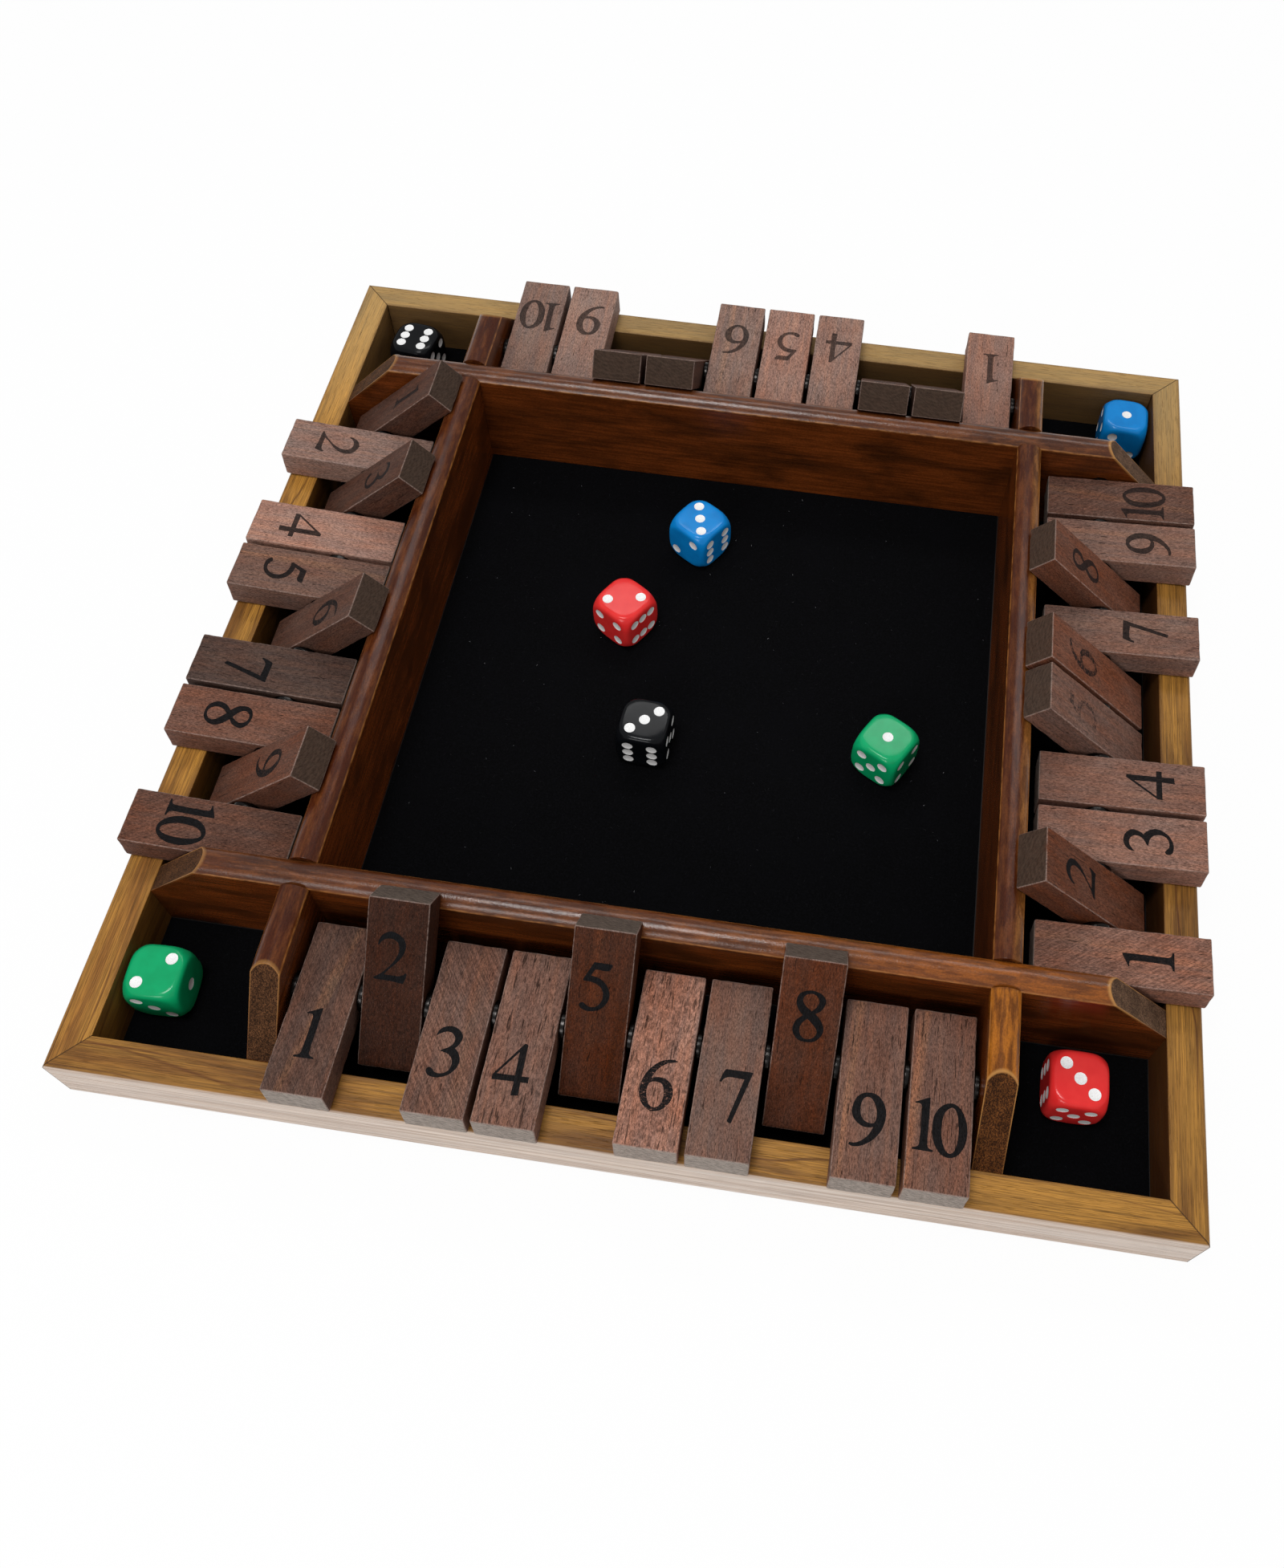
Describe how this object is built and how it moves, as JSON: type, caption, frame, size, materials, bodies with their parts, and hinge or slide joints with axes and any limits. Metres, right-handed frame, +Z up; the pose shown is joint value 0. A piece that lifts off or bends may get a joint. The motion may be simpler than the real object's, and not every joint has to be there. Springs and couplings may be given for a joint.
{
  "type": "shut the box game",
  "caption": "Square wooden shut-the-box tray for four players, with hinged numbered tiles along each side and loose dice.",
  "frame": {"origin": "middle of the underside of the square box", "axes": "+Z up, -Y towards the front bank of tiles, +X to the right"},
  "size_m": [0.306, 0.306, 0.0484],
  "materials": {
    "oak_frame": "golden-brown stained oak, satin lacquer",
    "base_board": "thin brown board",
    "black_felt": "short black felt",
    "stained_wall": "red-brown stain under gloss lacquer",
    "steel": "bright drawn steel",
    "walnut_tile": "dusty brown stained hardwood with black printed numbers",
    "red_die": "glossy red with white pips",
    "blue_die": "glossy blue with white pips",
    "green_die": "glossy green with white pips",
    "black_die": "glossy black with white pips"
  },
  "bodies": {
    "box": {"front_rail": "oak_frame", "right_rail": "oak_frame", "back_rail": "oak_frame", "left_rail": "oak_frame", "base_panel": "base_board", "felt_lining": "black_felt", "front_wall": "stained_wall", "back_wall": "stained_wall", "side_walls": "stained_wall", "dividers": "stained_wall", "pivot_rods": "steel", "spacer_washers": "steel"},
    "front_tile_1": {"front_tile_1": "walnut_tile"},
    "front_tile_2": {"front_tile_2": "walnut_tile"},
    "front_tile_3": {"front_tile_3": "walnut_tile"},
    "front_tile_4": {"front_tile_4": "walnut_tile"},
    "front_tile_5": {"front_tile_5": "walnut_tile"},
    "front_tile_6": {"front_tile_6": "walnut_tile"},
    "front_tile_7": {"front_tile_7": "walnut_tile"},
    "front_tile_8": {"front_tile_8": "walnut_tile"},
    "front_tile_9": {"front_tile_9": "walnut_tile"},
    "front_tile_10": {"front_tile_10": "walnut_tile"},
    "right_tile_1": {"right_tile_1": "walnut_tile"},
    "right_tile_2": {"right_tile_2": "walnut_tile"},
    "right_tile_3": {"right_tile_3": "walnut_tile"},
    "right_tile_4": {"right_tile_4": "walnut_tile"},
    "right_tile_5": {"right_tile_5": "walnut_tile"},
    "right_tile_6": {"right_tile_6": "walnut_tile"},
    "right_tile_7": {"right_tile_7": "walnut_tile"},
    "right_tile_8": {"right_tile_8": "walnut_tile"},
    "right_tile_9": {"right_tile_9": "walnut_tile"},
    "right_tile_10": {"right_tile_10": "walnut_tile"},
    "back_tile_1": {"back_tile_1": "walnut_tile"},
    "back_tile_2": {"back_tile_2": "walnut_tile"},
    "back_tile_3": {"back_tile_3": "walnut_tile"},
    "back_tile_4": {"back_tile_4": "walnut_tile"},
    "back_tile_5": {"back_tile_5": "walnut_tile"},
    "back_tile_6": {"back_tile_6": "walnut_tile"},
    "back_tile_7": {"back_tile_7": "walnut_tile"},
    "back_tile_8": {"back_tile_8": "walnut_tile"},
    "back_tile_9": {"back_tile_9": "walnut_tile"},
    "back_tile_10": {"back_tile_10": "walnut_tile"},
    "left_tile_1": {"left_tile_1": "walnut_tile"},
    "left_tile_2": {"left_tile_2": "walnut_tile"},
    "left_tile_3": {"left_tile_3": "walnut_tile"},
    "left_tile_4": {"left_tile_4": "walnut_tile"},
    "left_tile_5": {"left_tile_5": "walnut_tile"},
    "left_tile_6": {"left_tile_6": "walnut_tile"},
    "left_tile_7": {"left_tile_7": "walnut_tile"},
    "left_tile_8": {"left_tile_8": "walnut_tile"},
    "left_tile_9": {"left_tile_9": "walnut_tile"},
    "left_tile_10": {"left_tile_10": "walnut_tile"},
    "red_tray_die": {"red_tray_die": "red_die"},
    "blue_tray_die": {"blue_tray_die": "blue_die"},
    "green_tray_die": {"green_tray_die": "green_die"},
    "black_tray_die": {"black_tray_die": "black_die"},
    "red_corner_die": {"red_corner_die": "red_die"},
    "blue_corner_die": {"blue_corner_die": "blue_die"},
    "green_corner_die": {"green_corner_die": "green_die"},
    "black_corner_die": {"black_corner_die": "black_die"}
  },
  "joints": [
    {"name": "front_tile_1_flip", "type": "hinge", "parent": "box", "child": "front_tile_1", "pos_m": [-0.08206, -0.1223, 0.0242], "axis": [-1, 0, 0], "range_deg": [0, 133.24]},
    {"name": "front_tile_2_flip", "type": "hinge", "parent": "box", "child": "front_tile_2", "pos_m": [-0.06383, -0.1223, 0.0242], "axis": [-1, 0, 0], "range_deg": [-133.24, 0]},
    {"name": "front_tile_3_flip", "type": "hinge", "parent": "box", "child": "front_tile_3", "pos_m": [-0.04559, -0.1223, 0.0242], "axis": [-1, 0, 0], "range_deg": [0, 133.24]},
    {"name": "front_tile_4_flip", "type": "hinge", "parent": "box", "child": "front_tile_4", "pos_m": [-0.02735, -0.1223, 0.0242], "axis": [-1, 0, 0], "range_deg": [0, 133.24]},
    {"name": "front_tile_5_flip", "type": "hinge", "parent": "box", "child": "front_tile_5", "pos_m": [-0.00912, -0.1223, 0.0242], "axis": [-1, 0, 0], "range_deg": [-133.24, 0]},
    {"name": "front_tile_6_flip", "type": "hinge", "parent": "box", "child": "front_tile_6", "pos_m": [0.00912, -0.1223, 0.0242], "axis": [-1, 0, 0], "range_deg": [0, 133.24]},
    {"name": "front_tile_7_flip", "type": "hinge", "parent": "box", "child": "front_tile_7", "pos_m": [0.02735, -0.1223, 0.0242], "axis": [-1, 0, 0], "range_deg": [0, 133.24]},
    {"name": "front_tile_8_flip", "type": "hinge", "parent": "box", "child": "front_tile_8", "pos_m": [0.04559, -0.1223, 0.0242], "axis": [-1, 0, 0], "range_deg": [-133.24, 0]},
    {"name": "front_tile_9_flip", "type": "hinge", "parent": "box", "child": "front_tile_9", "pos_m": [0.06383, -0.1223, 0.0242], "axis": [-1, 0, 0], "range_deg": [0, 133.24]},
    {"name": "front_tile_10_flip", "type": "hinge", "parent": "box", "child": "front_tile_10", "pos_m": [0.08206, -0.1223, 0.0242], "axis": [-1, 0, 0], "range_deg": [0, 133.24]},
    {"name": "right_tile_1_flip", "type": "hinge", "parent": "box", "child": "right_tile_1", "pos_m": [0.1223, -0.08206, 0.0242], "axis": [0, -1, 0], "range_deg": [0, 133.24]},
    {"name": "right_tile_2_flip", "type": "hinge", "parent": "box", "child": "right_tile_2", "pos_m": [0.1223, -0.06383, 0.0242], "axis": [0, -1, 0], "range_deg": [-133.24, 0]},
    {"name": "right_tile_3_flip", "type": "hinge", "parent": "box", "child": "right_tile_3", "pos_m": [0.1223, -0.04559, 0.0242], "axis": [0, -1, 0], "range_deg": [0, 133.24]},
    {"name": "right_tile_4_flip", "type": "hinge", "parent": "box", "child": "right_tile_4", "pos_m": [0.1223, -0.02735, 0.0242], "axis": [0, -1, 0], "range_deg": [0, 133.24]},
    {"name": "right_tile_5_flip", "type": "hinge", "parent": "box", "child": "right_tile_5", "pos_m": [0.1223, -0.00912, 0.0242], "axis": [0, -1, 0], "range_deg": [-133.24, 0]},
    {"name": "right_tile_6_flip", "type": "hinge", "parent": "box", "child": "right_tile_6", "pos_m": [0.1223, 0.00912, 0.0242], "axis": [0, -1, 0], "range_deg": [-133.24, 0]},
    {"name": "right_tile_7_flip", "type": "hinge", "parent": "box", "child": "right_tile_7", "pos_m": [0.1223, 0.02735, 0.0242], "axis": [0, -1, 0], "range_deg": [0, 133.24]},
    {"name": "right_tile_8_flip", "type": "hinge", "parent": "box", "child": "right_tile_8", "pos_m": [0.1223, 0.04559, 0.0242], "axis": [0, -1, 0], "range_deg": [-133.24, 0]},
    {"name": "right_tile_9_flip", "type": "hinge", "parent": "box", "child": "right_tile_9", "pos_m": [0.1223, 0.06383, 0.0242], "axis": [0, -1, 0], "range_deg": [0, 133.24]},
    {"name": "right_tile_10_flip", "type": "hinge", "parent": "box", "child": "right_tile_10", "pos_m": [0.1223, 0.08206, 0.0242], "axis": [0, -1, 0], "range_deg": [0, 133.24]},
    {"name": "back_tile_1_flip", "type": "hinge", "parent": "box", "child": "back_tile_1", "pos_m": [0.08206, 0.1223, 0.0242], "axis": [1, 0, 0], "range_deg": [0, 133.24]},
    {"name": "back_tile_2_flip", "type": "hinge", "parent": "box", "child": "back_tile_2", "pos_m": [0.06383, 0.1223, 0.0242], "axis": [1, 0, 0], "range_deg": [-133.24, 0]},
    {"name": "back_tile_3_flip", "type": "hinge", "parent": "box", "child": "back_tile_3", "pos_m": [0.04559, 0.1223, 0.0242], "axis": [1, 0, 0], "range_deg": [-133.24, 0]},
    {"name": "back_tile_4_flip", "type": "hinge", "parent": "box", "child": "back_tile_4", "pos_m": [0.02735, 0.1223, 0.0242], "axis": [1, 0, 0], "range_deg": [0, 133.24]},
    {"name": "back_tile_5_flip", "type": "hinge", "parent": "box", "child": "back_tile_5", "pos_m": [0.00912, 0.1223, 0.0242], "axis": [1, 0, 0], "range_deg": [0, 133.24]},
    {"name": "back_tile_6_flip", "type": "hinge", "parent": "box", "child": "back_tile_6", "pos_m": [-0.00912, 0.1223, 0.0242], "axis": [1, 0, 0], "range_deg": [0, 133.24]},
    {"name": "back_tile_7_flip", "type": "hinge", "parent": "box", "child": "back_tile_7", "pos_m": [-0.02735, 0.1223, 0.0242], "axis": [1, 0, 0], "range_deg": [-133.24, 0]},
    {"name": "back_tile_8_flip", "type": "hinge", "parent": "box", "child": "back_tile_8", "pos_m": [-0.04559, 0.1223, 0.0242], "axis": [1, 0, 0], "range_deg": [-133.24, 0]},
    {"name": "back_tile_9_flip", "type": "hinge", "parent": "box", "child": "back_tile_9", "pos_m": [-0.06383, 0.1223, 0.0242], "axis": [1, 0, 0], "range_deg": [0, 133.24]},
    {"name": "back_tile_10_flip", "type": "hinge", "parent": "box", "child": "back_tile_10", "pos_m": [-0.08206, 0.1223, 0.0242], "axis": [1, 0, 0], "range_deg": [0, 133.24]},
    {"name": "left_tile_1_flip", "type": "hinge", "parent": "box", "child": "left_tile_1", "pos_m": [-0.1223, 0.08206, 0.0242], "axis": [0, 1, 0], "range_deg": [-133.24, 0]},
    {"name": "left_tile_2_flip", "type": "hinge", "parent": "box", "child": "left_tile_2", "pos_m": [-0.1223, 0.06383, 0.0242], "axis": [0, 1, 0], "range_deg": [0, 133.24]},
    {"name": "left_tile_3_flip", "type": "hinge", "parent": "box", "child": "left_tile_3", "pos_m": [-0.1223, 0.04559, 0.0242], "axis": [0, 1, 0], "range_deg": [-133.24, 0]},
    {"name": "left_tile_4_flip", "type": "hinge", "parent": "box", "child": "left_tile_4", "pos_m": [-0.1223, 0.02735, 0.0242], "axis": [0, 1, 0], "range_deg": [0, 133.24]},
    {"name": "left_tile_5_flip", "type": "hinge", "parent": "box", "child": "left_tile_5", "pos_m": [-0.1223, 0.00912, 0.0242], "axis": [0, 1, 0], "range_deg": [0, 133.24]},
    {"name": "left_tile_6_flip", "type": "hinge", "parent": "box", "child": "left_tile_6", "pos_m": [-0.1223, -0.00912, 0.0242], "axis": [0, 1, 0], "range_deg": [-133.24, 0]},
    {"name": "left_tile_7_flip", "type": "hinge", "parent": "box", "child": "left_tile_7", "pos_m": [-0.1223, -0.02735, 0.0242], "axis": [0, 1, 0], "range_deg": [0, 133.24]},
    {"name": "left_tile_8_flip", "type": "hinge", "parent": "box", "child": "left_tile_8", "pos_m": [-0.1223, -0.04559, 0.0242], "axis": [0, 1, 0], "range_deg": [0, 133.24]},
    {"name": "left_tile_9_flip", "type": "hinge", "parent": "box", "child": "left_tile_9", "pos_m": [-0.1223, -0.06383, 0.0242], "axis": [0, 1, 0], "range_deg": [-133.24, 0]},
    {"name": "left_tile_10_flip", "type": "hinge", "parent": "box", "child": "left_tile_10", "pos_m": [-0.1223, -0.08206, 0.0242], "axis": [0, 1, 0], "range_deg": [0, 133.24]},
    {"name": "red_tray_die_lift", "type": "slide", "parent": "box", "child": "red_tray_die", "axis": [0, 0, 1], "range_m": [0, 0.06]},
    {"name": "blue_tray_die_lift", "type": "slide", "parent": "box", "child": "blue_tray_die", "axis": [0, 0, 1], "range_m": [0, 0.06]},
    {"name": "green_tray_die_lift", "type": "slide", "parent": "box", "child": "green_tray_die", "axis": [0, 0, 1], "range_m": [0, 0.06]},
    {"name": "black_tray_die_lift", "type": "slide", "parent": "box", "child": "black_tray_die", "axis": [0, 0, 1], "range_m": [0, 0.06]},
    {"name": "red_corner_die_lift", "type": "slide", "parent": "box", "child": "red_corner_die", "axis": [0, 0, 1], "range_m": [0, 0.06]},
    {"name": "blue_corner_die_lift", "type": "slide", "parent": "box", "child": "blue_corner_die", "axis": [0, 0, 1], "range_m": [0, 0.06]},
    {"name": "green_corner_die_lift", "type": "slide", "parent": "box", "child": "green_corner_die", "axis": [0, 0, 1], "range_m": [0, 0.06]},
    {"name": "black_corner_die_lift", "type": "slide", "parent": "box", "child": "black_corner_die", "axis": [0, 0, 1], "range_m": [0, 0.06]}
  ]
}
